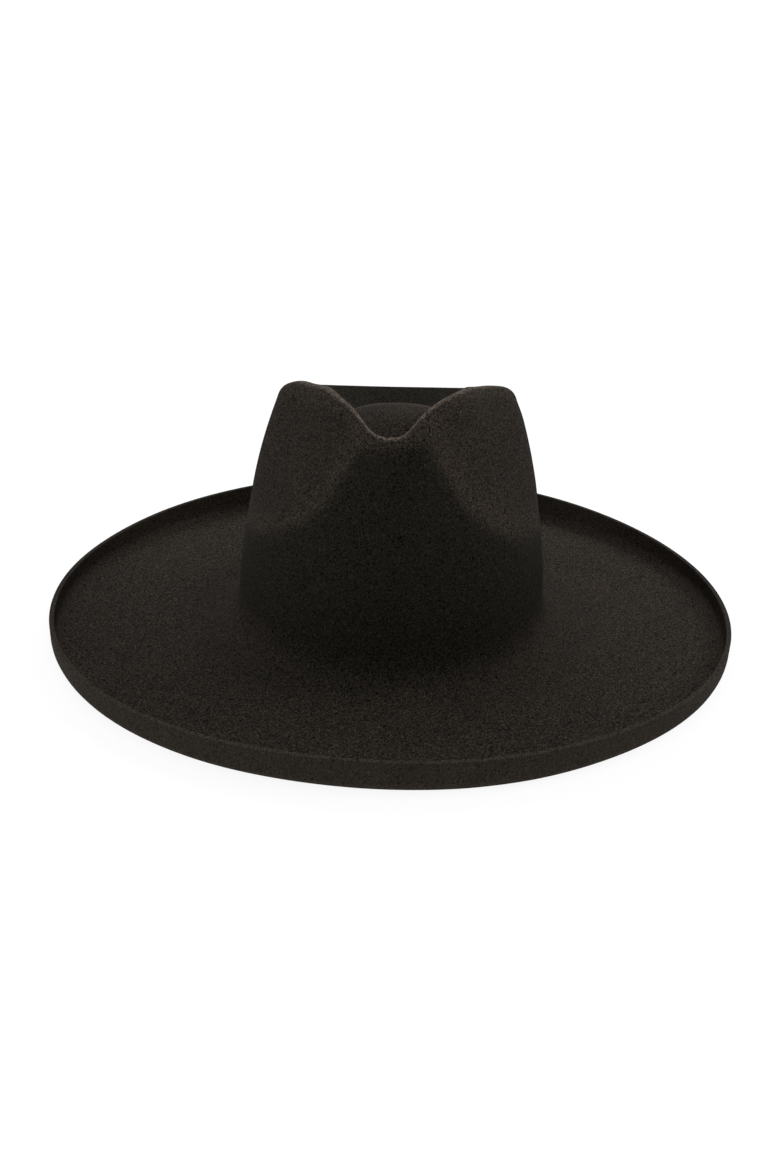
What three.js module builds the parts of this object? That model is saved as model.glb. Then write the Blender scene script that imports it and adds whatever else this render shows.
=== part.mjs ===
import * as THREE from "three";

// A wide-brim felt hat with a teardrop crown, blocked from one piece of felt. Millimetres, +Z up.
// The brim lies flat on Z = 0, the origin is under the middle of the head opening, and the front faces -Y.
// Sizes are of the face that shows from above. The other face lies one felt thickness inside it.

const FELT_THICKNESS = 2.6;
const FELT_COLOUR = "#26231f";

// Brim. A reach is a distance from the origin in plan.
const BRIM_REACH = { side: 188, front: 206.6, back: 206.6 };
const BRIM_BREAK_ROLL = 17;

// Upturned edge of the brim
const LIP_HEIGHT = { side: 12, front: 16, back: 17 };
const LIP_LEAN = 0.5;
const LIP_ROLL = 3;

// Outside of the crown before it is dented, one row for each level
const CROWN_LEVELS = [
  { z: 0, side: 85.0, front: 106.0, back: 106.0 },
  { z: 22, side: 84.4, front: 104.0, back: 104.0 },
  { z: 46, side: 82.6, front: 100.8, back: 100.0 },
  { z: 80, side: 77.3, front: 95.0, back: 92.5 },
  { z: 103, side: 71.8, front: 91.0, back: 86.5 },
  { z: 126, side: 64.8, front: 87.4, back: 80.0 },
  { z: 152, side: 55.0, front: 84.0, back: 72.0 },
];

// Top of the ridge round the crown, one row for each place from front to back
const RIDGE_PLACES = [
  { y: -84, z: 145 },
  { y: -60, z: 146 },
  { y: -42, z: 145.5 },
  { y: 0, z: 134.5 },
  { y: 80, z: 110 },
];
const PEAK_HEIGHT = 146;
const RIDGE_ROLL = { side: 8, front: 7, back: 7 };

// Notch in the ridge at the middle of the front
const NOTCH_X = -4.8;
const NOTCH_DEPTH = 16.8;
const NOTCH_HALF_WIDTH = { right: 16, left: 14 };
const NOTCH_FALL = { right: 2.5, left: 3.3 };

// Channel pressed inside the ridge and the dome that it leaves in the middle. Depths are below the ridge.
const CHANNEL_REACH = { side: 37, front: 60, back: 56 };
const CHANNEL_DEPTH = { side: 22, front: 28, back: 16 };
const CHANNEL_ROLL = 12;
const DOME_DEPTH = 11;

// Pinch dents beside the front, joined under the notch. Their lower edge has one row for each direction,
// counted from the middle of the pinch, which is a little off the middle of the hat.
const DENT_MIDDLE_DEGREES = -3;
const DENT_EDGE = [
  { degrees: 0, z: 127.5 },
  { degrees: 6, z: 127 },
  { degrees: 10, z: 124 },
  { degrees: 13, z: 117 },
  { degrees: 18, z: 105 },
  { degrees: 22, z: 95 },
  { degrees: 27, z: 86 },
  { degrees: 35, z: 77 },
  { degrees: 50, z: 67 },
  { degrees: 75, z: 59 },
  { degrees: 95, z: 53 },
];
const DENT_DEPTH = 10.5;
const DENT_SLOPE = 0.42;
const DENT_CREASE = 2;
const DENT_FADE_DEGREES = { start: 45, end: 92 };

// Facets: steps round the hat, and steps along each stretch of the section from the brim's edge to the dome
const STEPS_ROUND = 72;
const FRONT_CROWDING = 0.42;
const STEPS = { lipRoll: 3, brim: 4, breakRoll: 4, wall: 10, ridgeRoll: 6, channelRoll: 3, dome: 5 };

const { clamp, lerp, radToDeg, smoothstep } = THREE.MathUtils;

// Value of a column where the key column is `at`, on a smooth curve through the table's rows
function readTable(rows, key, column, at) {
  const last = rows.length - 1;
  let row = 0;
  while (row < last - 1 && at > rows[row + 1][key]) row += 1;
  const slope = (from, to) => (rows[to][column] - rows[from][column]) / (rows[to][key] - rows[from][key]);
  const span = rows[row + 1][key] - rows[row][key];
  const t = clamp((at - rows[row][key]) / span, 0, 1);
  const startSlope = slope(Math.max(row - 1, 0), row + 1);
  const endSlope = slope(row, Math.min(row + 2, last));
  const early = (1 - t) * (1 - t);
  const late = t * t;
  return rows[row][column] * early * (1 + 2 * t) + startSlope * span * early * t
    + rows[row + 1][column] * late * (3 - 2 * t) - endSlope * span * late * (1 - t);
}

// Reach of an oval in a direction. Angle 0 is the front, and a quarter turn is the wearer's left side.
function oval(angle, { side, front, back }) {
  const end = Math.cos(angle) > 0 ? front : back;
  return 1 / Math.hypot(Math.sin(angle) / side, Math.cos(angle) / end);
}

// Value that changes smoothly from front to side to back
function around(angle, { side, front, back }) {
  const end = Math.cos(angle) > 0 ? front : back;
  return lerp(side, end, Math.cos(angle) ** 2);
}

// How far a pinch dent is pressed in at a place on the crown's outside
function dentDepth(angle, z) {
  const degrees = Math.abs(radToDeg(angle) - DENT_MIDDLE_DEGREES);
  const above = z - readTable(DENT_EDGE, "degrees", "z", degrees);
  const climb = (above + Math.hypot(above, DENT_CREASE)) / 2;
  const pressed = DENT_DEPTH * (1 - Math.exp(-climb * DENT_SLOPE / DENT_DEPTH));
  return pressed * (1 - smoothstep(degrees, DENT_FADE_DEGREES.start, DENT_FADE_DEGREES.end));
}

// Reach of the crown's outside at a level
function wallReach(angle, z) {
  const level = {};
  for (const column of ["side", "front", "back"]) level[column] = readTable(CROWN_LEVELS, "z", column, z);
  return oval(angle, level) - dentDepth(angle, z);
}

// Height of the ridge, notch included, in a direction
function ridgeHeight(angle) {
  const reach = wallReach(angle, PEAK_HEIGHT);
  const level = ridgeLevel(-reach * Math.cos(angle));
  if (Math.cos(angle) < 0) return level;
  const fromNotch = reach * Math.sin(angle) - NOTCH_X;
  const side = fromNotch > 0 ? "left" : "right";
  return level - NOTCH_DEPTH / (1 + Math.abs(fromNotch / NOTCH_HALF_WIDTH[side]) ** NOTCH_FALL[side]);
}

// Height that the ridge would have over a place inside it, without the notch
function ridgeLevel(y) {
  return readTable(RIDGE_PLACES, "y", "z", y);
}

// Points of an arc about a centre, from one direction to another
function arc(centre, radius, from, to, steps) {
  const points = [];
  for (let step = 0; step <= steps; step += 1) {
    const turn = lerp(from, to, step / steps);
    points.push(new THREE.Vector2(radius * Math.cos(turn), radius * Math.sin(turn)).add(centre));
  }
  return points;
}

// Points of a corner rounded to a radius
function roundedCorner(before, corner, after, radius, steps) {
  const back = before.clone().sub(corner).normalize();
  const ahead = after.clone().sub(corner).normalize();
  const half = Math.acos(back.dot(ahead)) / 2;
  const centre = corner.clone().add(back.clone().add(ahead).setLength(radius / Math.sin(half)));
  const start = corner.clone().addScaledVector(back, radius / Math.tan(half)).sub(centre).angle();
  const turn = (Math.PI - 2 * half) * Math.sign(ahead.cross(back));
  return arc(centre, radius, start, start + turn, steps);
}

// Points of the fold over the ridge, from the crown's wall to the slope that goes down to the channel
function ridgeFold(angle, channel) {
  const radius = around(angle, RIDGE_ROLL);
  const z = ridgeHeight(angle) - radius;
  const lean = Math.atan((wallReach(angle, z - radius) - wallReach(angle, z)) / radius);
  const centre = new THREE.Vector2(wallReach(angle, z) - radius / Math.cos(lean), z);
  const toChannel = channel.clone().sub(centre);
  const end = toChannel.angle() - Math.acos(radius / toChannel.length());
  return arc(centre, radius, lean, end, STEPS.ridgeRoll);
}

// Section of the face that shows, from the top of the brim's edge to the middle of the dome.
// A point's x is its reach and its y is its height.
function section(angle) {
  const lipReach = oval(angle, BRIM_REACH) - FELT_THICKNESS;
  const lipTop = new THREE.Vector2(lipReach, around(angle, LIP_HEIGHT));
  const lipFoot = new THREE.Vector2(lipReach - LIP_LEAN, FELT_THICKNESS);

  const foot = new THREE.Vector2(wallReach(angle, 0), FELT_THICKNESS);
  const lowWall = new THREE.Vector2(wallReach(angle, BRIM_BREAK_ROLL), FELT_THICKNESS + BRIM_BREAK_ROLL);

  const channelReach = oval(angle, CHANNEL_REACH);
  const level = (reach) => ridgeLevel(-reach * Math.cos(angle));
  const channelDepth = around(angle, CHANNEL_DEPTH);
  const channel = new THREE.Vector2(channelReach, level(channelReach) - channelDepth);
  const domeHeight = (share) => {
    const reach = channelReach * share;
    return new THREE.Vector2(reach, level(reach) - lerp(DOME_DEPTH, channelDepth, share * share));
  };
  const domeEdge = domeHeight(1 - CHANNEL_ROLL / channelReach);

  const lipRoll = roundedCorner(lipTop, lipFoot, foot, LIP_ROLL, STEPS.lipRoll);
  const breakRoll = roundedCorner(lipFoot, foot, lowWall, BRIM_BREAK_ROLL, STEPS.breakRoll);
  const ridgeRoll = ridgeFold(angle, channel);
  const channelRoll = roundedCorner(ridgeRoll.at(-1), channel, domeEdge, CHANNEL_ROLL, STEPS.channelRoll);

  const brim = [];
  for (let step = 1; step < STEPS.brim; step += 1) {
    brim.push(lipRoll.at(-1).clone().lerp(breakRoll[0], step / STEPS.brim));
  }
  const wall = [];
  const wallStart = breakRoll.at(-1).y;
  const wallEnd = ridgeRoll[0].y;
  for (let step = 1; step < STEPS.wall; step += 1) {
    const z = lerp(wallStart, wallEnd, step / STEPS.wall);
    wall.push(new THREE.Vector2(wallReach(angle, z), z));
  }
  const dome = [];
  for (let step = 1; step < STEPS.dome; step += 1) {
    dome.push(domeHeight((1 - step / STEPS.dome) * channelRoll.at(-1).x / channelReach));
  }
  return [
    lipTop,
    ...lipRoll,
    ...brim,
    ...breakRoll,
    ...wall,
    ...ridgeRoll,
    ...channelRoll,
    ...dome,
  ];
}

// Directions of the sections, closer together at the front, where the notch and the dents are
function sectionAngles() {
  const angles = [];
  for (let step = 0; step < STEPS_ROUND; step += 1) {
    const turn = 2 * Math.PI * step / STEPS_ROUND;
    const angle = turn - FRONT_CROWDING * Math.sin(turn);
    angles.push(angle > Math.PI ? angle - 2 * Math.PI : angle);
  }
  return angles;
}

// Face that shows, as rows of points: one row for each direction, all ending at the middle of the dome
function visibleFace() {
  return sectionAngles().map((angle) => section(angle).map(
    (point) => new THREE.Vector3(point.x * Math.sin(angle), -point.x * Math.cos(angle), point.y),
  ));
}

// The same rows moved in by the felt's thickness
function hiddenFace(rows, middle) {
  return rows.map((row, index) => row.map((point, place) => {
    const left = rows.at(index - 1)[place];
    const right = rows[(index + 1) % rows.length][place];
    const outer = row[Math.max(place - 1, 0)];
    const inner = row[place + 1] ?? middle;
    const acrossRows = right.clone().sub(left);
    const alongRow = inner.clone().sub(outer);
    const inward = alongRow.cross(acrossRows).setLength(FELT_THICKNESS);
    return point.clone().add(inward);
  }));
}

// Closed felt: the face that shows, the hidden face, and the cut edge that joins them
function feltGeometry() {
  const visible = visibleFace();
  const middle = new THREE.Vector3(0, 0, ridgeLevel(0) - DOME_DEPTH);
  const hidden = hiddenFace(visible, middle);
  const hiddenMiddle = middle.clone().setZ(middle.z - FELT_THICKNESS);

  const points = [...visible.flat(), ...hidden.flat(), middle, hiddenMiddle];
  const length = visible[0].length;
  const visibleAt = (row, place) => row * length + place;
  const hiddenAt = (row, place) => visible.length * length + visibleAt(row, place);
  const triangles = [];
  const addQuad = (a, b, c, d) => triangles.push(a, b, c, a, c, d);

  for (let row = 0; row < visible.length; row += 1) {
    const next = (row + 1) % visible.length;
    for (let place = 0; place < length - 1; place += 1) {
      const inner = place + 1;
      addQuad(visibleAt(row, place), visibleAt(next, place), visibleAt(next, inner), visibleAt(row, inner));
      addQuad(hiddenAt(row, place), hiddenAt(row, inner), hiddenAt(next, inner), hiddenAt(next, place));
    }
    addQuad(visibleAt(row, 0), hiddenAt(row, 0), hiddenAt(next, 0), visibleAt(next, 0));
    triangles.push(visibleAt(row, length - 1), visibleAt(next, length - 1), points.length - 2);
    triangles.push(hiddenAt(next, length - 1), hiddenAt(row, length - 1), points.length - 1);
  }
  const geometry = new THREE.BufferGeometry().setFromPoints(points);
  geometry.setIndex(triangles);
  geometry.computeVertexNormals();
  return geometry;
}

const felt = new THREE.MeshStandardMaterial({ color: FELT_COLOUR, roughness: 0.95, metalness: 0 });
const feltBody = new THREE.Mesh(feltGeometry(), felt);
feltBody.name = "felt_body";

const hat = new THREE.Group();
hat.add(feltBody);

export default hat;
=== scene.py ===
# %% [markdown]
# # A wide-brim felt fedora
# The imported model is the fixed frame: it says where the hat is and how large it is. It is loaded first,
# and its box is kept. Everything is in metres, with +Z up and the front of the hat towards -Y.

# %% Load the frame
import math

import bmesh
import bpy
from mathutils import Matrix, Vector, noise


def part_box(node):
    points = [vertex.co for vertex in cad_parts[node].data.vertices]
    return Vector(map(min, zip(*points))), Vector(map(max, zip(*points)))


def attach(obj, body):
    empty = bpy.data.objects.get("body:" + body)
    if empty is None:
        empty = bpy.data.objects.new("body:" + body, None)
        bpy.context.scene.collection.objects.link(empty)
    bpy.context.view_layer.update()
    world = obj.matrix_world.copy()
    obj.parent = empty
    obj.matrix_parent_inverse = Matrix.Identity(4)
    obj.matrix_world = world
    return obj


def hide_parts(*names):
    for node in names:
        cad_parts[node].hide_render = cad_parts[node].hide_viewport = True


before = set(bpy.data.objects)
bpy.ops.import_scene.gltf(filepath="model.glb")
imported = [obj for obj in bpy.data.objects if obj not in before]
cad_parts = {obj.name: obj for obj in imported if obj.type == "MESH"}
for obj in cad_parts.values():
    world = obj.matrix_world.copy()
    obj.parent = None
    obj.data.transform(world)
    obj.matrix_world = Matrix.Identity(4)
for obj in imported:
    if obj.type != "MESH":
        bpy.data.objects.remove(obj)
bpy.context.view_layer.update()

MM = 0.001
CAD_LOW, CAD_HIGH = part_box("felt_body")
print("frame box in mm:", [round(side / MM, 1) for side in CAD_HIGH - CAD_LOW])

# %% [markdown]
# ## Sizes
# A felt hat is one sheet, steamed over a block and then pinched by hand. So its shape is a short list of
# sizes: how far the brim reaches, how the crown narrows as it rises, where the ridge runs, and how deep the
# dents are. They are written in millimetres, as a hatter would, and turned into metres once, at the end.
# The brim and the crown come first, and the other sizes stand where they are first needed.

# %% Sizes of the brim in millimetres
FELT_THICKNESS = 2.6
BRIM_REACH = {"side": 188.0, "front": 206.6, "back": 206.6}
BRIM_FULLNESS = 0.7
BRIM_BREAK_ROLL = 17.0
LIP_HEIGHT = {"side": 12.0, "front": 16.0, "back": 17.6}
LIP_LEAN = 0.5
LIP_ROLL = 3.0
print("brim", 2 * BRIM_REACH["side"], "by", BRIM_REACH["front"] + BRIM_REACH["back"], "mm")

# %% Sizes of the crown in millimetres
CROWN_LEVELS = [
    {"z": 0, "side": 85.0, "front": 106.0, "back": 106.0},
    {"z": 22, "side": 84.4, "front": 104.0, "back": 104.0},
    {"z": 46, "side": 82.6, "front": 100.8, "back": 100.0},
    {"z": 80, "side": 77.3, "front": 95.0, "back": 92.5},
    {"z": 103, "side": 71.8, "front": 91.0, "back": 86.5},
    {"z": 126, "side": 64.8, "front": 87.4, "back": 80.0},
    {"z": 152, "side": 55.0, "front": 84.0, "back": 72.0},
]
PEAK_HEIGHT = 146.0
CROWN_LEAN = 1.7
print("crown", 2 * CROWN_LEVELS[0]["side"], "mm wide at its foot,", PEAK_HEIGHT, "mm tall")

# %% [markdown]
# ## Reading the sizes
# A table gives a size at a few places only. Between them a smooth curve is wanted, because straight lines
# would leave rings on the felt. A cubic through the rows does that: at each row it takes the slope of the
# rows on either side. The small helpers beside it fade one value into another, or raise it in one place.

# %% Smooth values between the rows of a table
def lerp(start, end, share):
    return start + (end - start) * share


def smoothstep(value, start, end):
    share = min(max((value - start) / (end - start), 0.0), 1.0)
    return share * share * (3 - 2 * share)


def bell(value, width):
    return math.exp(-(value / width) ** 2)


def read_table(rows, key, column, at):
    last = len(rows) - 1
    row = 0
    while row < last - 1 and at > rows[row + 1][key]:
        row += 1

    def slope(first, second):
        return (rows[second][column] - rows[first][column]) / (rows[second][key] - rows[first][key])

    span = rows[row + 1][key] - rows[row][key]
    share = min(max((at - rows[row][key]) / span, 0.0), 1.0)
    start_slope = slope(max(row - 1, 0), row + 1)
    end_slope = slope(row, min(row + 2, last))
    early = (1 - share) ** 2
    late = share ** 2
    start_part = rows[row][column] * early * (1 + 2 * share) + start_slope * span * early * share
    end_part = rows[row + 1][column] * late * (3 - 2 * share) - end_slope * span * late * (1 - share)
    return start_part + end_part


print("side of the crown at 100 mm:", round(read_table(CROWN_LEVELS, "z", "side", 100), 1), "mm")

# %% [markdown]
# A hat is an oval, so its sizes change with the direction. Direction 0 looks at the front, and a quarter
# turn at the wearer's left side. One helper gives a reach on an oval, and the other blends a height or a
# roll from front to side to back. The brim is a little fuller than an oval beside its front.

# %% Sizes by direction
def oval(angle, size):
    end = size["front"] if math.cos(angle) > 0 else size["back"]
    return 1 / math.hypot(math.sin(angle) / size["side"], math.cos(angle) / end)


def around(angle, size):
    end = size["front"] if math.cos(angle) > 0 else size["back"]
    return lerp(size["side"], end, math.cos(angle) ** 2)


def brim_reach(angle):
    fuller = BRIM_FULLNESS * math.sin(2 * angle) ** 2 * max(math.cos(angle), 0.0)
    return oval(angle, BRIM_REACH) + fuller


print("brim at 45 degrees:", round(brim_reach(math.radians(45)), 1), "mm")

# %% [markdown]
# ## The pinch
# The two pinches beside the front are broad flat dents that join under the notch. Below their bell-shaped
# edge the felt is untouched, and above it the wall leans in at a steady slope until the dent is deep enough.
# The crease where they meet is soft, so the slope sets in over a few millimetres. Like the notch, the pinch
# is a little off the middle. The table gives the height of the dents' edge by the degrees from that middle.

# %% Depth of the pinch
DENT_MIDDLE = -1.5
DENT_EDGE = [
    {"degrees": 0, "z": 125},
    {"degrees": 6, "z": 125},
    {"degrees": 10, "z": 123.5},
    {"degrees": 13, "z": 118},
    {"degrees": 18, "z": 105},
    {"degrees": 22, "z": 95},
    {"degrees": 27, "z": 86},
    {"degrees": 35, "z": 77},
    {"degrees": 50, "z": 67},
    {"degrees": 75, "z": 59},
    {"degrees": 95, "z": 53},
]
DENT_DEPTH = 10.5
DENT_SLOPE = 0.42
DENT_CREASE = 2.0
DENT_FADE_DEGREES = (45.0, 92.0)


def from_pinch(angle):
    return abs(math.degrees(angle) - DENT_MIDDLE)


def height_above_crease(angle, z):
    return z - read_table(DENT_EDGE, "degrees", "z", from_pinch(angle))


def dent_depth(angle, z):
    above = height_above_crease(angle, z)
    climb = (above + math.hypot(above, DENT_CREASE)) / 2
    pressed = DENT_DEPTH * (1 - math.exp(-climb * DENT_SLOPE / DENT_DEPTH))
    return pressed * (1 - smoothstep(from_pinch(angle), *DENT_FADE_DEGREES))


print("dent beside the front at 120 mm:", round(dent_depth(math.radians(25), 120), 1), "mm deep")

# %% [markdown]
# ## The wall and the ridge
# The wall is the oval of its height, less the dent. On the wearer's left the shoulder under the ridge is
# also pressed in by two millimetres, which a hand does when it lifts the hat. The ridge runs down from two
# front peaks to the back, and the notch parts the peaks. A real ridge isn't quite even, so three broad, low
# touches raise or lower it. They could be noise, but noise would put them in other places than the real
# ones. The notch and the touches belong to the front half and fade out before the sides.

# %% Reach of the wall and height of the ridge
SHOULDER_PRESS = {"depth": 2.0, "heights": (116.0, 140.0), "leftness": (0.5, 0.95)}
RIDGE_PLACES = [
    {"y": -84, "z": 145},
    {"y": -60, "z": 146},
    {"y": -42, "z": 145.5},
    {"y": 0, "z": 134.5},
    {"y": 80, "z": 110},
]
RIDGE_TOUCHES = [
    {"x": -58, "lift": 1.9, "width": 6},
    {"x": -38, "lift": -1.2, "width": 14},
    {"x": 42, "lift": -1.4, "width": 7},
]
NOTCH_X = -5.2
NOTCH_DEPTH = 16.4
NOTCH_HALF_WIDTH = {"right": 16.8, "left": 14.7}
NOTCH_FALL = {"right": 2.7, "left": 3.2}
FRONT_HALF = (0.0, 0.3)


def wall_reach(angle, z):
    level = {column: read_table(CROWN_LEVELS, "z", column, z) for column in ("side", "front", "back")}
    high_enough = smoothstep(z, *SHOULDER_PRESS["heights"])
    shoulder = high_enough * smoothstep(math.sin(angle), *SHOULDER_PRESS["leftness"])
    return oval(angle, level) - dent_depth(angle, z) - SHOULDER_PRESS["depth"] * shoulder


def ridge_level(y):
    return read_table(RIDGE_PLACES, "y", "z", y)


def ridge_height(angle):
    reach = wall_reach(angle, PEAK_HEIGHT)
    level = ridge_level(-reach * math.cos(angle))
    across = reach * math.sin(angle)
    touched = sum(touch["lift"] * bell(across - touch["x"], touch["width"]) for touch in RIDGE_TOUCHES)
    side = "left" if across > NOTCH_X else "right"
    notch = NOTCH_DEPTH / (1 + abs((across - NOTCH_X) / NOTCH_HALF_WIDTH[side]) ** NOTCH_FALL[side])
    return level + (touched - notch) * smoothstep(math.cos(angle), *FRONT_HALF)


print("ridge at the front:", round(ridge_height(0), 1), "mm")
print("ridge at the back:", round(ridge_height(math.pi), 1), "mm")

# %% [markdown]
# ## Section
# Cut the hat from its edge to the middle of the crown and the cut shows one bent line: up from the lip's
# foot, along the brim, round the break, up the wall, over the ridge, down to the channel and up onto the
# dome. Straight runs are joined by arcs, as a felt bends, so the helpers here make arcs. The ridge's fold is
# fullest at the sides, and tight at the front and back, where the felt is pulled over the block.

# %% Arcs for the bends of the felt
RIDGE_ROLL = {"side": 9.4, "front": 4.5, "back": 5.0}


def arc(centre, radius, start, end, steps):
    turns = [lerp(start, end, step / steps) for step in range(steps + 1)]
    return [centre + radius * Vector((math.cos(turn), math.sin(turn))) for turn in turns]


def rounded_corner(before, corner, after, radius, steps):
    back = (before - corner).normalized()
    ahead = (after - corner).normalized()
    half = back.angle(ahead) / 2
    centre = corner + (back + ahead).normalized() * (radius / math.sin(half))
    first = corner + back * (radius / math.tan(half)) - centre
    start = math.atan2(first.y, first.x)
    turn = math.copysign(math.pi - 2 * half, ahead.cross(back))
    return arc(centre, radius, start, start + turn, steps)


def ridge_fold(angle, channel, steps):
    radius = around(angle, RIDGE_ROLL)
    z = ridge_height(angle) - radius
    lean = math.atan((wall_reach(angle, z - radius) - wall_reach(angle, z)) / radius)
    centre = Vector((wall_reach(angle, z) - radius / math.cos(lean), z))
    to_channel = channel - centre
    end = math.atan2(to_channel.y, to_channel.x) - math.acos(radius / to_channel.length)
    if end < lean:
        end += 2 * math.pi
    return arc(centre, radius, lean, end, steps)


print("a quarter arc:", [tuple(round(c, 2) for c in p) for p in arc(Vector((0, 0)), 1, 0, math.pi / 2, 2)])

# %% [markdown]
# Every section has the same number of points, so that point 40 of one direction can be joined to point 40
# of the next. A point's x is its distance from the middle of the hat and its y is its height. Inside the
# ridge the felt is pressed down to a channel and rises again to a dome. The dome is broad and flat on top:
# its depth grows by a power of the way out, so it falls away only near the channel.

# %% One section of the hat
CHANNEL_REACH = {"side": 37.0, "front": 60.0, "back": 56.0}
CHANNEL_DEPTH = {"side": 22.0, "front": 28.0, "back": 16.0}
CHANNEL_ROLL = 9.0
DOME_DEPTH = 10.4
DOME_FLATNESS = 2.6
STEPS = {"lip": 4, "lip_roll": 6, "brim": 26, "break": 12, "wall": 34, "ridge": 14, "slope": 3,
         "channel": 8, "dome": 16}


def between(start, end, steps):
    return [start.lerp(end, step / steps) for step in range(1, steps)]


def section(angle):
    lip_reach = brim_reach(angle) - FELT_THICKNESS
    lip_top = Vector((lip_reach, around(angle, LIP_HEIGHT)))
    lip_foot = Vector((lip_reach - LIP_LEAN, FELT_THICKNESS))
    foot = Vector((wall_reach(angle, 0), FELT_THICKNESS))
    low_wall = Vector((wall_reach(angle, BRIM_BREAK_ROLL), FELT_THICKNESS + BRIM_BREAK_ROLL))

    channel_reach = oval(angle, CHANNEL_REACH)
    channel_depth = around(angle, CHANNEL_DEPTH)

    def dome_point(share):
        reach = channel_reach * share
        depth = lerp(DOME_DEPTH, channel_depth, share ** DOME_FLATNESS)
        return Vector((reach, ridge_level(-reach * math.cos(angle)) - depth))

    channel = dome_point(1.0)
    dome_edge = dome_point(1 - CHANNEL_ROLL / channel_reach)
    lip_roll = rounded_corner(lip_top, lip_foot, foot, LIP_ROLL, STEPS["lip_roll"])
    brim_break = rounded_corner(lip_foot, foot, low_wall, BRIM_BREAK_ROLL, STEPS["break"])
    ridge = ridge_fold(angle, channel, STEPS["ridge"])
    channel_roll = rounded_corner(ridge[-1], channel, dome_edge, CHANNEL_ROLL, STEPS["channel"])

    heights = [lerp(brim_break[-1].y, ridge[0].y, step / STEPS["wall"]) for step in range(1, STEPS["wall"])]
    wall = [Vector((wall_reach(angle, z), z)) for z in heights]
    last_share = channel_roll[-1].x / channel_reach
    dome = [dome_point(last_share * (1 - step / STEPS["dome"])) for step in range(1, STEPS["dome"] + 1)]
    return [
        lip_top, *between(lip_top, lip_roll[0], STEPS["lip"]),
        *lip_roll, *between(lip_roll[-1], brim_break[0], STEPS["brim"]),
        *brim_break, *wall,
        *ridge, *between(ridge[-1], channel_roll[0], STEPS["slope"]),
        *channel_roll, *dome,
    ]


FRONT_SECTION = section(0.0)
print("points in a section:", len(FRONT_SECTION))

# %% [markdown]
# ## Spinning the felt
# The front section could be swept by hand, but a spin gives closed, evenly joined rings in one step. So the
# section is drawn once as a chain of edges, each point gets its number, and the chain is spun a full turn.
# The result is round. A later cell moves every point to where its own direction's section has it.

# %% Spin the front section into a round hat
STEPS_ROUND = 240
WELD_DISTANCE = 0.001

felt_mesh = bmesh.new()
number_in_section = felt_mesh.verts.layers.int.new("number_in_section")
chain = [felt_mesh.verts.new((0, -point.x, point.y)) for point in FRONT_SECTION]
for number, corner in enumerate(chain):
    corner[number_in_section] = number
for outer, inner in zip(chain, chain[1:]):
    felt_mesh.edges.new((outer, inner))
bmesh.ops.spin(
    felt_mesh, geom=felt_mesh.verts[:] + felt_mesh.edges[:], cent=(0, 0, 0), axis=(0, 0, 1), dvec=(0, 0, 0),
    angle=2 * math.pi, space=Matrix.Identity(4), steps=STEPS_ROUND, use_merge=True,
)
bmesh.ops.remove_doubles(felt_mesh, verts=felt_mesh.verts[:], dist=WELD_DISTANCE)
print("spun points:", len(felt_mesh.verts), "faces:", len(felt_mesh.faces))

# %% [markdown]
# ## Painted light and shade
# The felt's tone carries painted light and shade. The pinches get a painted highlight, most of all along the
# crease and under the ridge. The front of the crown gets painted shade, and so does the inside of the
# recess, except just behind the notch, which gets a painted highlight. Along the ridge and the dome's crest
# runs a thin painted highlight line. All that follows the shape, so each point carries it as a number that
# the material reads later. The brim is handled least and keeps the roughest grain, and its upturned edge is
# pressed smooth.
# A second number, named grain, says so.

# %% Painted light and shade, and grains
# Tones below 1 are painted shade and tones above 1 painted highlight; the brim's 1.0 is the plain felt.
PAINTED_LIGHT = {"brim": 1.0, "front_brim": 0.9, "front_lip": 1.2, "front": 0.77, "recess": 0.78,
       "front_recess": 1.4, "dome": 1.12}
# Painted highlight on the pinches, stronger on the left one.
PINCH_PAINTED_HIGHLIGHT = {"left": 1.12, "right": 1.0}
# Painted highlight lines along the ridge, under it, along the crease and on the dome's crest.
PAINTED_HIGHLIGHT_LINES = {"ridge": 2.3, "under_ridge": 0.32, "crease": 0.2, "dome_crest": 1.5}
GRAIN = {"flat": 0.9, "crown": 1.15, "brim": 1.6, "lip": 0.85}
LIP_END = STEPS["lip"] + STEPS["lip_roll"]
WALL_START = LIP_END + STEPS["brim"] + STEPS["break"] + 1
RIDGE_START = WALL_START + STEPS["wall"] - 1
RIDGE_END = RIDGE_START + STEPS["ridge"] + 1
DOME_START = RIDGE_END + STEPS["slope"] + STEPS["channel"]
print("the wall starts at point", WALL_START, "and the dome at point", DOME_START)

# %% [markdown]
# A tone fades into its neighbour, so most of the helpers name the stretch in which it does. Along the way
# round, a stretch is given by the cosine of the direction: 1 at the front, 0 at the sides, -1 at the back.
# The crease's painted highlight band is set by its true distance, measured across the slope of the dents'
# edge.

# %% Painted light and shade of the brim, the recess and the wall
FRONT_OF_BRIM = (0.4, 0.9)
FRONT_OF_RECESS = (0.3, 0.9)
FRONT_OF_LIP = (-0.2, 0.4)
FRONT_OF_RIDGE = (-0.6, 0.2)
PINCH_MIDDLE_DEGREES = (-6.0, 6.0)
PINCH_END_DEGREES = (75.0, 130.0)
WALL_FOOT = (6.0, 36.0)
SLOPE_STEP_DEGREES = 2.0
CREASE_START = -2.0
CREASE_FADE = {"left": 6.0, "right": 3.0}
CREASE_MIDDLE = {"left": 9.0, "right": 4.0}
CREASE_WIDTH = {"left": 7.5, "right": 5.5}
UNDER_RIDGE = 6.0


def crease_distance(angle, z):
    step = math.radians(SLOPE_STEP_DEGREES)
    climb = height_above_crease(angle + step, z) - height_above_crease(angle - step, z)
    run = 2 * step * wall_reach(angle, z)
    return height_above_crease(angle, z) / math.hypot(1.0, climb / run)


def brim_painted_shade(angle):
    # Painted shade on the brim in front of the crown.
    return lerp(PAINTED_LIGHT["brim"], PAINTED_LIGHT["front_brim"], smoothstep(math.cos(angle), *FRONT_OF_BRIM))


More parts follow.
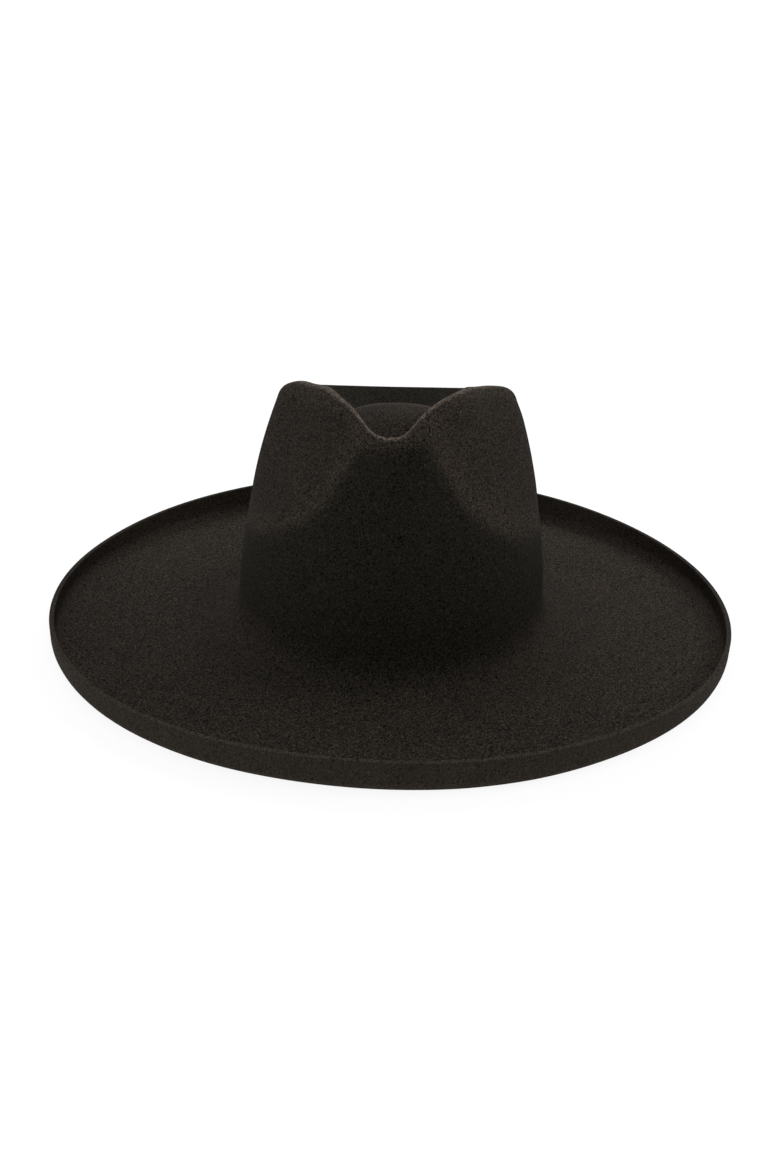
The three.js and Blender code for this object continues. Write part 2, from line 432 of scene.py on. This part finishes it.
def recess_painted_light(angle):
    # Painted shade inside the recess, and a painted highlight just behind the notch.
    return lerp(PAINTED_LIGHT["recess"], PAINTED_LIGHT["front_recess"], smoothstep(math.cos(angle), *FRONT_OF_RECESS))


def by_side(angle, sizes):
    leftwards = smoothstep(math.degrees(angle) - DENT_MIDDLE, *PINCH_MIDDLE_DEGREES)
    return lerp(sizes["right"], sizes["left"], leftwards)


def wall_painted_light(angle, point, drop):
    # Painted shade on the front of the crown; painted highlight on the pinches, along the crease and under
    # the ridge.
    up_wall = smoothstep(point.y, *WALL_FOOT)
    distance = crease_distance(angle, point.y)
    near_front = 1 - smoothstep(from_pinch(angle), *PINCH_END_DEGREES)
    pinched = smoothstep(distance, CREASE_START, by_side(angle, CREASE_FADE)) * near_front
    band = bell(distance - by_side(angle, CREASE_MIDDLE), by_side(angle, CREASE_WIDTH))
    painted_brightness = PAINTED_HIGHLIGHT_LINES["crease"] * band * near_front
    painted_brightness += PAINTED_HIGHLIGHT_LINES["under_ridge"] * bell(drop, UNDER_RIDGE)
    pinch = by_side(angle, PINCH_PAINTED_HIGHLIGHT)
    return lerp(lerp(brim_painted_shade(angle), PAINTED_LIGHT["front"], up_wall), pinch, pinched * up_wall) + painted_brightness * up_wall


print("nap at the front of the brim:", round(brim_painted_shade(0.0), 2))
print("nap at the front of the recess:", round(recess_painted_light(0.0), 2))

# %% [markdown]
# The last helper picks the right one for any point of a section, by the point's number. The fold of the
# ridge goes from the wall's tone to the recess's tone, and its crest gets the thin painted highlight line.

# %% Painted light and shade of any point
CREST_DROP = 0.5
OVER_RIDGE = (0.4, 0.9)
DOME_EDGE_POINTS = (-2.0, 2.0)
DOME_CREST = {"y": -8.0, "width": 8.5, "length": 24.0}


def dome_painted_light(angle, number, point):
    # Painted highlight on the dome and a brighter painted highlight on its crest.
    crest_highlight = PAINTED_HIGHLIGHT_LINES["dome_crest"] * bell(point.x * math.sin(angle), DOME_CREST["length"])
    crest_highlight *= bell(-point.x * math.cos(angle) - DOME_CREST["y"], DOME_CREST["width"])
    return lerp(recess_painted_light(angle), PAINTED_LIGHT["dome"], smoothstep(number - DOME_START, *DOME_EDGE_POINTS)) + crest_highlight


def painted_light_tone(angle, number, point, crest_height):
    drop = crest_height - point.y
    # The front lip gets a painted highlight.
    if number < LIP_END:
        return lerp(PAINTED_LIGHT["brim"], PAINTED_LIGHT["front_lip"], smoothstep(math.cos(angle), *FRONT_OF_LIP))
    if number < WALL_START:
        return brim_painted_shade(angle)
    # Thin painted highlight line along the ridge's crest.
    ridge_highlight = PAINTED_HIGHLIGHT_LINES["ridge"] * bell(drop, CREST_DROP) * smoothstep(math.cos(angle), *FRONT_OF_RIDGE)
    if number < RIDGE_START:
        return wall_painted_light(angle, point, drop) + ridge_highlight
    if number < RIDGE_END:
        across = (number - RIDGE_START) / (RIDGE_END - RIDGE_START)
        return lerp(wall_painted_light(angle, point, drop), recess_painted_light(angle), smoothstep(across, *OVER_RIDGE)) + ridge_highlight
    if number < DOME_START:
        return recess_painted_light(angle)
    return dome_painted_light(angle, number, point)


print("nap in a pinch:", round(painted_light_tone(0.6, RIDGE_START - 9, Vector((90.0, 110.0)), PEAK_HEIGHT), 2))

# %% [markdown]
# ## Shaping
# Now the round hat is pressed into its oval, pinched shape, one direction at a time, much as hands would do
# it. Directions are crowded towards the front, where the notch and dents need more points. Felt is never
# quite even, so the crown gets a slow unevenness of under half a millimetre, and the brim one of up to about
# a millimetre. The brim is only ever lifted, so that the hat still rests flat. The crown leans a little to
# the wearer's left.

# %% Place and grain of one point
FRONT_CROWDING = 0.42
UNEVEN = {"brim": 0.7, "brim_lift": 0.5, "crown": 0.45, "brim_wave": 90.0, "crown_wave": 42.0}
UNEVEN_BRIM_REACH = (100.0, 200.0)
UNEVEN_CROWN_HEIGHT = (8.0, 40.0)
BRIM_GRAIN_REACH = (100.0, 130.0)


def crowded(turn):
    return math.remainder(turn - FRONT_CROWDING * math.sin(turn), math.tau)


def uneven(place, wave):
    return noise.noise(place / wave)


def felt_place(angle, point):
    outward = Vector((math.sin(angle), -math.cos(angle), 0))
    place = outward * point.x + Vector((0, 0, point.y))
    height_share = min(max(place.z / PEAK_HEIGHT, 0.0), 1.0)
    place.x += CROWN_LEAN * height_share
    brim_share = smoothstep(point.x, *UNEVEN_BRIM_REACH) * (1 - height_share)
    lifted = max(UNEVEN["brim_lift"] + uneven(place, UNEVEN["brim_wave"]), 0.0)
    place.z += UNEVEN["brim"] * brim_share * lifted
    crown_share = smoothstep(place.z, *UNEVEN_CROWN_HEIGHT)
    place += outward * UNEVEN["crown"] * crown_share * uneven(place, UNEVEN["crown_wave"])
    return place


def grain_at(number, painted_light, reach):
    if number < LIP_END:
        return GRAIN["lip"]
    # The crown's grain is calmer where the painted shade of the front is darkest.
    crown_grain = lerp(GRAIN["flat"], GRAIN["crown"], smoothstep(painted_light, PAINTED_LIGHT["front"], PAINTED_LIGHT["brim"]))
    return lerp(crown_grain, GRAIN["brim"], smoothstep(reach, *BRIM_GRAIN_REACH))


brim_point = felt_place(0.0, Vector((150.0, FELT_THICKNESS)))
print("the brim's front, 150 mm out, lies at", [round(c, 1) for c in brim_point])

# %% Move each point to its own section
FLAT_BRIM_BELOW = 4.0

painted_light_layer = felt_mesh.verts.layers.float.new("painted_light")
grain_layer = felt_mesh.verts.layers.float.new("grain")
sections = [section(crowded(2 * math.pi * step / STEPS_ROUND)) for step in range(STEPS_ROUND)]
for corner in felt_mesh.verts:
    turn = math.atan2(corner.co.x, -corner.co.y)
    step = round(turn * STEPS_ROUND / (2 * math.pi)) % STEPS_ROUND
    angle = crowded(2 * math.pi * step / STEPS_ROUND)
    number = corner[number_in_section]
    point = sections[step][number]
    crest_height = max(other.y for other in sections[step][RIDGE_START:RIDGE_END])
    # Each point stores its painted light and shade tone for the material.
    corner[painted_light_layer] = painted_light_tone(angle, number, point, crest_height)
    corner[grain_layer] = grain_at(number, corner[painted_light_layer], point.x)
    corner.co = felt_place(angle, point) * MM

bmesh.ops.recalc_face_normals(felt_mesh, faces=felt_mesh.faces[:])
brim_faces = [face for face in felt_mesh.faces if face.calc_center_median().z < FLAT_BRIM_BELOW * MM]
brim_face = max(brim_faces, key=lambda face: face.normal.z ** 2)
if brim_face.normal.z < 0:
    bmesh.ops.reverse_faces(felt_mesh, faces=felt_mesh.faces[:])
print("shaped height in mm:", round(max(corner.co.z for corner in felt_mesh.verts) / MM, 1))

# %% [markdown]
# The sheet gets its real thickness from a Solidify modifier, which keeps the face that shows and adds the
# other one under it. The cut edge of the brim is then square, so a small Bevel takes its corners off, as
# wear and steam do. Solidify also gives the cut edge and the underside materials of their own.

# %% Give the felt its thickness
CUT_ROUND = 0.8
CUT_ROUND_SEGMENTS = 3
CUT_CORNER_DEGREES = 50.0
CUT_EDGE_SLOT = 1
UNDERSIDE_SLOT = 2

mesh = bpy.data.meshes.new("felt")
felt_mesh.to_mesh(mesh)
felt_mesh.free()
mesh.polygons.foreach_set("use_smooth", [True] * len(mesh.polygons))
felt = bpy.data.objects.new("felt", mesh)
bpy.context.scene.collection.objects.link(felt)

wall_modifier = felt.modifiers.new("thickness", "SOLIDIFY")
wall_modifier.thickness = FELT_THICKNESS * MM
wall_modifier.offset = -1.0
wall_modifier.use_even_offset = True
wall_modifier.use_quality_normals = True
wall_modifier.material_offset = UNDERSIDE_SLOT
wall_modifier.material_offset_rim = CUT_EDGE_SLOT

edge_modifier = felt.modifiers.new("cut edge", "BEVEL")
edge_modifier.width = CUT_ROUND * MM
edge_modifier.segments = CUT_ROUND_SEGMENTS
edge_modifier.limit_method = "ANGLE"
edge_modifier.angle_limit = math.radians(CUT_CORNER_DEGREES)
print("felt thickness:", FELT_THICKNESS, "mm")

# %% [markdown]
# ## Felt finish
# Wool felt is a mat of tangled fibres. Close up it shows short criss-cross streaks with a few pale specks,
# and from further off a faint cloudiness where the mat is denser. A picture could show that, but a node
# group made of noise follows the felt everywhere and can be set finer or coarser for each material. A few
# small helpers come first, which add a node, set its values and link its inputs.

# %% Helpers that add nodes
def add_node(tree, kind, place, **settings):
    node = tree.nodes.new(kind)
    node.location = place
    for name, value in settings.items():
        setattr(node, name, value)
    return node


def math_node(tree, operation, place, first, second):
    node = add_node(tree, "ShaderNodeMath", place, operation=operation)
    for socket, value in zip(node.inputs, (first, second)):
        if isinstance(value, (int, float)):
            socket.default_value = value
        else:
            tree.links.new(value, socket)
    return node.outputs["Value"]


def noise_node(tree, place, vector, scale, detail, roughness):
    node = add_node(tree, "ShaderNodeTexNoise", place)
    tree.links.new(vector, node.inputs["Vector"])
    if isinstance(scale, float):
        node.inputs["Scale"].default_value = scale
    else:
        tree.links.new(scale, node.inputs["Scale"])
    node.inputs["Detail"].default_value = detail
    node.inputs["Roughness"].default_value = roughness
    return node


def map_range_node(tree, place, value, start, end):
    node = add_node(tree, "ShaderNodeMapRange", place)
    tree.links.new(value, node.inputs["Value"])
    node.inputs["From Min"].default_value = start
    node.inputs["From Max"].default_value = end
    return node.outputs["Result"]


print("node helpers:", [helper.__name__ for helper in (add_node, math_node, noise_node, map_range_node)])

# %% [markdown]
# The streaks come from noise that is stretched in two ways, and the darker of the two wins, so that they
# look woven into each other. A slower noise bends both, because straight streaks would look combed. Specks
# are only the peaks of a coarser noise. Scales are in waves a metre, so 260 is a bend about every 4 mm.

# %% Streaks and specks
BEND = {"scale": 260.0, "detail": 2.0, "roughness": 0.5, "reach": 0.004}
STREAK = {"detail": 3.0, "roughness": 0.65}
STREAK_STRETCHES = [(1.0, 0.35, 0.75), (0.6, 0.7, 1.0)]
SPECK = {"coarseness": 0.35, "detail": 2.0, "roughness": 0.6, "peak": (0.66, 0.82)}


def streak_mat(tree, vector, fineness):
    bend = noise_node(tree, (-1000, -260), vector, BEND["scale"], BEND["detail"], BEND["roughness"])
    bent = add_node(tree, "ShaderNodeVectorMath", (-800, -160), operation="MULTIPLY_ADD")
    tree.links.new(bend.outputs["Color"], bent.inputs[0])
    bent.inputs[1].default_value = (BEND["reach"], BEND["reach"], BEND["reach"])
    tree.links.new(vector, bent.inputs[2])
    streaks = []
    for index, stretch in enumerate(STREAK_STRETCHES):
        scaled = add_node(tree, "ShaderNodeVectorMath", (-600, -160 * index), operation="MULTIPLY")
        tree.links.new(bent.outputs["Vector"], scaled.inputs[0])
        scaled.inputs[1].default_value = stretch
        streak = noise_node(tree, (-400, -200 * index), scaled.outputs["Vector"], fineness,
                            STREAK["detail"], STREAK["roughness"])
        streaks.append(streak.outputs["Fac"])
    return math_node(tree, "MINIMUM", (-200, 0), *streaks)


def speck_peaks(tree, vector, fineness):
    size = math_node(tree, "MULTIPLY", (-600, 520), fineness, SPECK["coarseness"])
    speck = noise_node(tree, (-400, 520), vector, size, SPECK["detail"], SPECK["roughness"])
    return map_range_node(tree, (-200, 520), speck.outputs["Fac"], *SPECK["peak"])


print("bend every", round(1 / BEND["scale"] / MM, 1), "mm")

# %% [markdown]
# The group adds streaks, clouds and specks into one tone around 1, and puts out a height for the bump as
# well. How fine the fibres are and how strong each of the three is stay inputs, so that each material can
# say it.

# %% Node group for tangled fibres
MAT_MIDDLE = 0.44
CLOUD = {"scale": 34.0, "detail": 3.0, "roughness": 0.55, "middle": 0.5, "relief": 0.4}
FIBRE_INPUTS = ["Fineness", "Streak contrast", "Cloud contrast", "Speck strength"]


def contrasted(tree, place, value, middle, contrast):
    above_middle = math_node(tree, "SUBTRACT", (place[0] - 100, place[1]), value, middle)
    return math_node(tree, "MULTIPLY", place, above_middle, contrast)


def fibre_group():
    tree = bpy.data.node_groups.new("tangled fibres", "ShaderNodeTree")
    tree.interface.new_socket("Vector", in_out="INPUT", socket_type="NodeSocketVector")
    for name in FIBRE_INPUTS:
        tree.interface.new_socket(name, in_out="INPUT", socket_type="NodeSocketFloat")
    tree.interface.new_socket("Tone", in_out="OUTPUT", socket_type="NodeSocketFloat")
    tree.interface.new_socket("Height", in_out="OUTPUT", socket_type="NodeSocketFloat")
    given = add_node(tree, "NodeGroupInput", (-1200, 0)).outputs
    result = add_node(tree, "NodeGroupOutput", (900, 0)).inputs

    mat = streak_mat(tree, given["Vector"], given["Fineness"])
    cloud_noise = noise_node(tree, (-400, 300), given["Vector"], CLOUD["scale"], CLOUD["detail"],
                             CLOUD["roughness"])
    cloud = cloud_noise.outputs["Fac"]
    peaks = speck_peaks(tree, given["Vector"], given["Fineness"])

    streak_part = contrasted(tree, (0, 0), mat, MAT_MIDDLE, given["Streak contrast"])
    cloud_part = contrasted(tree, (0, 300), cloud, CLOUD["middle"], given["Cloud contrast"])
    speck_part = math_node(tree, "MULTIPLY", (0, 520), peaks, given["Speck strength"])
    both = math_node(tree, "ADD", (200, 200), streak_part, cloud_part)
    total = math_node(tree, "ADD", (400, 200), both, speck_part)
    tree.links.new(math_node(tree, "ADD", (600, 200), total, 1.0), result["Tone"])
    cloud_relief = math_node(tree, "MULTIPLY", (200, -200), cloud, CLOUD["relief"])
    tree.links.new(math_node(tree, "ADD", (400, -200), mat, cloud_relief), result["Height"])
    return tree


FIBRES = fibre_group()
print("fibre group outputs:", [item.name for item in FIBRES.interface.items_tree if item.in_out == "OUTPUT"])

# %% [markdown]
# The felt is a very dark brown that reads as black, and it has no gloss. Sheen would pale every rounded edge
# alike, so the painted light and shade number sets the tone instead, with painted highlights and painted
# shade. It sets
# the hue too: where the painted shade is darkest the brown is a little greener, and where it is painted
# lighter redder. The cut edge of the brim is the same wool, opened by the knife, so it is rougher and paler.
# The underside is never brushed, so its grain is the calmest.

# %% Felt material
# The brown of the painted shade: the hue turns to it where the painted light number is lowest.
PAINTED_SHADE_BROWN = (0.0184, 0.0170, 0.0127)
FELT_ROUGHNESS = 0.92
FELT_SPECULAR = 0.05
BUMP_STRENGTH = 0.7
FIBRE_FINENESS = 1650.0
CLOUD_CONTRAST = 0.4


def add_painted_light_colour(tree, colour, tone, shader):
    # The painted light and shade number scales the tone and shifts the hue from the painted shade's greener
    # brown.
    painted_light = add_node(tree, "ShaderNodeAttribute", (-1000, 260), attribute_name="painted_light").outputs["Fac"]
    painted_tone = math_node(tree, "MULTIPLY", (-600, 200), tone, painted_light)
    painted_brightness = map_range_node(tree, (-800, 420), painted_light, PAINTED_LIGHT["front"], PAINTED_LIGHT["brim"])
    hue = add_node(tree, "ShaderNodeVectorMath", (-600, 420), operation="MULTIPLY_ADD")
    tree.links.new(painted_brightness, hue.inputs[0])
    hue.inputs[1].default_value = Vector(colour) - Vector(PAINTED_SHADE_BROWN)
    hue.inputs[2].default_value = PAINTED_SHADE_BROWN
    shade = add_node(tree, "ShaderNodeVectorMath", (-420, 120), operation="SCALE")
    tree.links.new(hue.outputs["Vector"], shade.inputs[0])
    tree.links.new(painted_tone, shade.inputs["Scale"])
    tree.links.new(shade.outputs["Vector"], shader.inputs["Base Color"])


def felt_material(name, colour, streaks, specks, relief):
    material = bpy.data.materials.new(name)
    material.use_nodes = True
    tree = material.node_tree
    shader = tree.nodes["Principled BSDF"]
    shader.inputs["Roughness"].default_value = FELT_ROUGHNESS
    shader.inputs["Specular IOR Level"].default_value = FELT_SPECULAR

    place = add_node(tree, "ShaderNodeTexCoord", (-1000, 0))
    fibres = add_node(tree, "ShaderNodeGroup", (-780, 0), node_tree=FIBRES)
    tree.links.new(place.outputs["Object"], fibres.inputs["Vector"])
    fibres.inputs["Fineness"].default_value = FIBRE_FINENESS
    grain = add_node(tree, "ShaderNodeAttribute", (-1200, -200), attribute_name="grain")
    contrast = math_node(tree, "MULTIPLY", (-1000, -200), grain.outputs["Fac"], streaks)
    tree.links.new(contrast, fibres.inputs["Streak contrast"])
    fibres.inputs["Cloud contrast"].default_value = CLOUD_CONTRAST
    fibres.inputs["Speck strength"].default_value = specks
    add_painted_light_colour(tree, colour, fibres.outputs["Tone"], shader)

    bump = add_node(tree, "ShaderNodeBump", (-520, -200))
    bump.inputs["Strength"].default_value = BUMP_STRENGTH
    bump.inputs["Distance"].default_value = relief * MM
    tree.links.new(fibres.outputs["Height"], bump.inputs["Height"])
    tree.links.new(bump.outputs["Normal"], shader.inputs["Normal"])
    return material


print("fibres about", round(1 / FIBRE_FINENESS / MM, 1), "mm apart")

# %% Finishes of the felt
FELT_BROWN = (0.0203, 0.0164, 0.0131)
CUT_BROWN = (0.0270, 0.0226, 0.0182)
FINISHES = [
    {"name": "wool felt", "colour": FELT_BROWN, "streaks": 11.0, "specks": 1.5, "relief": 0.5},
    {"name": "cut felt edge", "colour": CUT_BROWN, "streaks": 9.0, "specks": 2.0, "relief": 0.6},
    {"name": "underside of the felt", "colour": FELT_BROWN, "streaks": 7.0, "specks": 1.0, "relief": 0.4},
]
for finish in FINISHES:
    felt.data.materials.append(felt_material(**finish))
print("materials:", [slot.name for slot in felt.material_slots])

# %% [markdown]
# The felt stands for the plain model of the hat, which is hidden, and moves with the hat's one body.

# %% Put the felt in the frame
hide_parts("felt_body")
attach(felt, "root")
print("piece of the hat:", felt.name)

# %% [markdown]
# ## Floor and light
# The hat stands on a plain white floor, a disc 2.4 metres across. Most of its white is its own glow, so the
# hat's shade hardly shows on it. Past its rim the camera sees a white world that gives no light, so the
# floor seems to have no end.

# %% Floor and world
FLOOR_RADIUS = 1.2
FLOOR_SEGMENTS = 96
FLOOR_COLOUR = (0.15, 0.15, 0.15, 1.0)
FLOOR_ROUGHNESS = 0.9
FLOOR_GLOW = 0.9
WHITE = (1, 1, 1, 1)
WORLD_LIGHT = 0.0
WORLD_BRIGHTNESS = 1.05

floor_mesh = bmesh.new()
bmesh.ops.create_circle(floor_mesh, cap_ends=True, segments=FLOOR_SEGMENTS, radius=FLOOR_RADIUS)
mesh = bpy.data.meshes.new("floor")
floor_mesh.to_mesh(mesh)
floor_mesh.free()
floor = bpy.data.objects.new("floor", mesh)
bpy.context.scene.collection.objects.link(floor)
floor_material = bpy.data.materials.new("white floor")
floor_material.use_nodes = True
floor_shader = floor_material.node_tree.nodes["Principled BSDF"]
floor_shader.inputs["Base Color"].default_value = FLOOR_COLOUR
floor_shader.inputs["Roughness"].default_value = FLOOR_ROUGHNESS
floor_shader.inputs["Specular IOR Level"].default_value = 0.0
floor_shader.inputs["Emission Color"].default_value = WHITE
floor_shader.inputs["Emission Strength"].default_value = FLOOR_GLOW
floor.data.materials.append(floor_material)

world = bpy.data.worlds.new("studio")
world.use_nodes = True
bpy.context.scene.world = world
world_tree = world.node_tree
background = world_tree.nodes["Background"]
seen = add_node(world_tree, "ShaderNodeLightPath", (-600, 0))
level = add_node(world_tree, "ShaderNodeMapRange", (-300, 0))
world_tree.links.new(seen.outputs["Is Camera Ray"], level.inputs["Value"])
level.inputs["To Min"].default_value = WORLD_LIGHT
level.inputs["To Max"].default_value = WORLD_BRIGHTNESS
world_tree.links.new(level.outputs["Result"], background.inputs["Strength"])
background.inputs["Color"].default_value = WHITE
print("floor", 2 * FLOOR_RADIUS, "m across")

# %% [markdown]
# Seven soft boxes stand round the hat, all aimed at its foot. Those at the two sides are the strongest, and
# the one behind comes next, so the ridge and the pinches catch the light and the front of the crown stays
# dark. They are area lamps, because small lamps would throw hard shadows on the brim. An azimuth of 0 is the
# front. The brightness is that of the lamp's face, so a lamp's power also grows with its area.

# %% Soft boxes
BOX_DISTANCE = 2.5
BOX_WIDTH = 1.5
BOX_HEIGHT = 1.0
SOFT_BOXES = [
    {"name": "behind", "azimuth": 180.0, "elevation": 35.0, "brightness": 3.6},
    {"name": "left_behind", "azimuth": 140.0, "elevation": 35.0, "brightness": 2.5},
    {"name": "right_behind", "azimuth": -140.0, "elevation": 35.0, "brightness": 2.5},
    {"name": "left_side", "azimuth": 100.0, "elevation": 35.0, "brightness": 4.4},
    {"name": "right_side", "azimuth": -90.0, "elevation": 12.0, "brightness": 4.1},
    {"name": "front", "azimuth": 0.0, "elevation": 35.0, "brightness": 3.0},
    {"name": "above", "azimuth": 0.0, "elevation": 88.0, "brightness": 2.8},
]


def soft_box(name, azimuth, elevation, brightness):
    lamp = bpy.data.lights.new(name, "AREA")
    lamp.shape = "RECTANGLE"
    lamp.size = BOX_WIDTH
    lamp.size_y = BOX_HEIGHT
    lamp.energy = brightness * math.pi * BOX_WIDTH * BOX_HEIGHT
    light = bpy.data.objects.new(name, lamp)
    turn = math.radians(azimuth)
    rise = math.radians(elevation)
    towards = Vector((math.sin(turn) * math.cos(rise), -math.cos(turn) * math.cos(rise), math.sin(rise)))
    light.location = towards * BOX_DISTANCE
    light.rotation_euler = towards.to_track_quat("Z", "Y").to_euler()
    light.visible_camera = False
    bpy.context.scene.collection.objects.link(light)


for box in SOFT_BOXES:
    soft_box(**box)

# %% [markdown]
# ## Camera
# The camera stands in front of the hat and looks down on it by about 23 degrees. Its distance and lens come
# from fitting a pinhole camera to the ovals of the brim and of the crown. The hat sits a little below the
# middle of the frame, which the lens shift gives without tilting the camera.

# %% Camera
CAMERA_DISTANCE = 0.900
CAMERA_ELEVATION = 22.85
CAMERA_YAW = 0.7
CAMERA_ROLL = 1.42
FOCAL_PIXELS = 1588.0
IMAGE_HEIGHT = 1170.0
ORIGIN_BELOW_MIDDLE = 31.0
SENSOR = 36.0

camera = bpy.data.objects.new("camera", bpy.data.cameras.new("camera"))
bpy.context.scene.collection.objects.link(camera)
bpy.context.scene.camera = camera
camera.data.sensor_width = SENSOR
camera.data.lens = SENSOR * FOCAL_PIXELS / IMAGE_HEIGHT
camera.data.shift_y = ORIGIN_BELOW_MIDDLE / IMAGE_HEIGHT
rise = math.radians(CAMERA_ELEVATION)
turn = Matrix.Rotation(math.radians(-CAMERA_YAW), 4, "Z")
stand = turn @ Vector((0, -CAMERA_DISTANCE * math.cos(rise), CAMERA_DISTANCE * math.sin(rise)))
aim = stand.to_track_quat("Z", "Y").to_matrix().to_4x4()
camera.matrix_world = Matrix.Translation(stand) @ aim @ Matrix.Rotation(math.radians(CAMERA_ROLL), 4, "Z")
bpy.context.scene.view_settings.view_transform = "Standard"
print("camera at", [round(c, 3) for c in stand], "lens", round(camera.data.lens, 2), "mm")

# %% [markdown]
# The finished felt must be as large as the frame.

# %% Update the scene
bpy.context.view_layer.update()
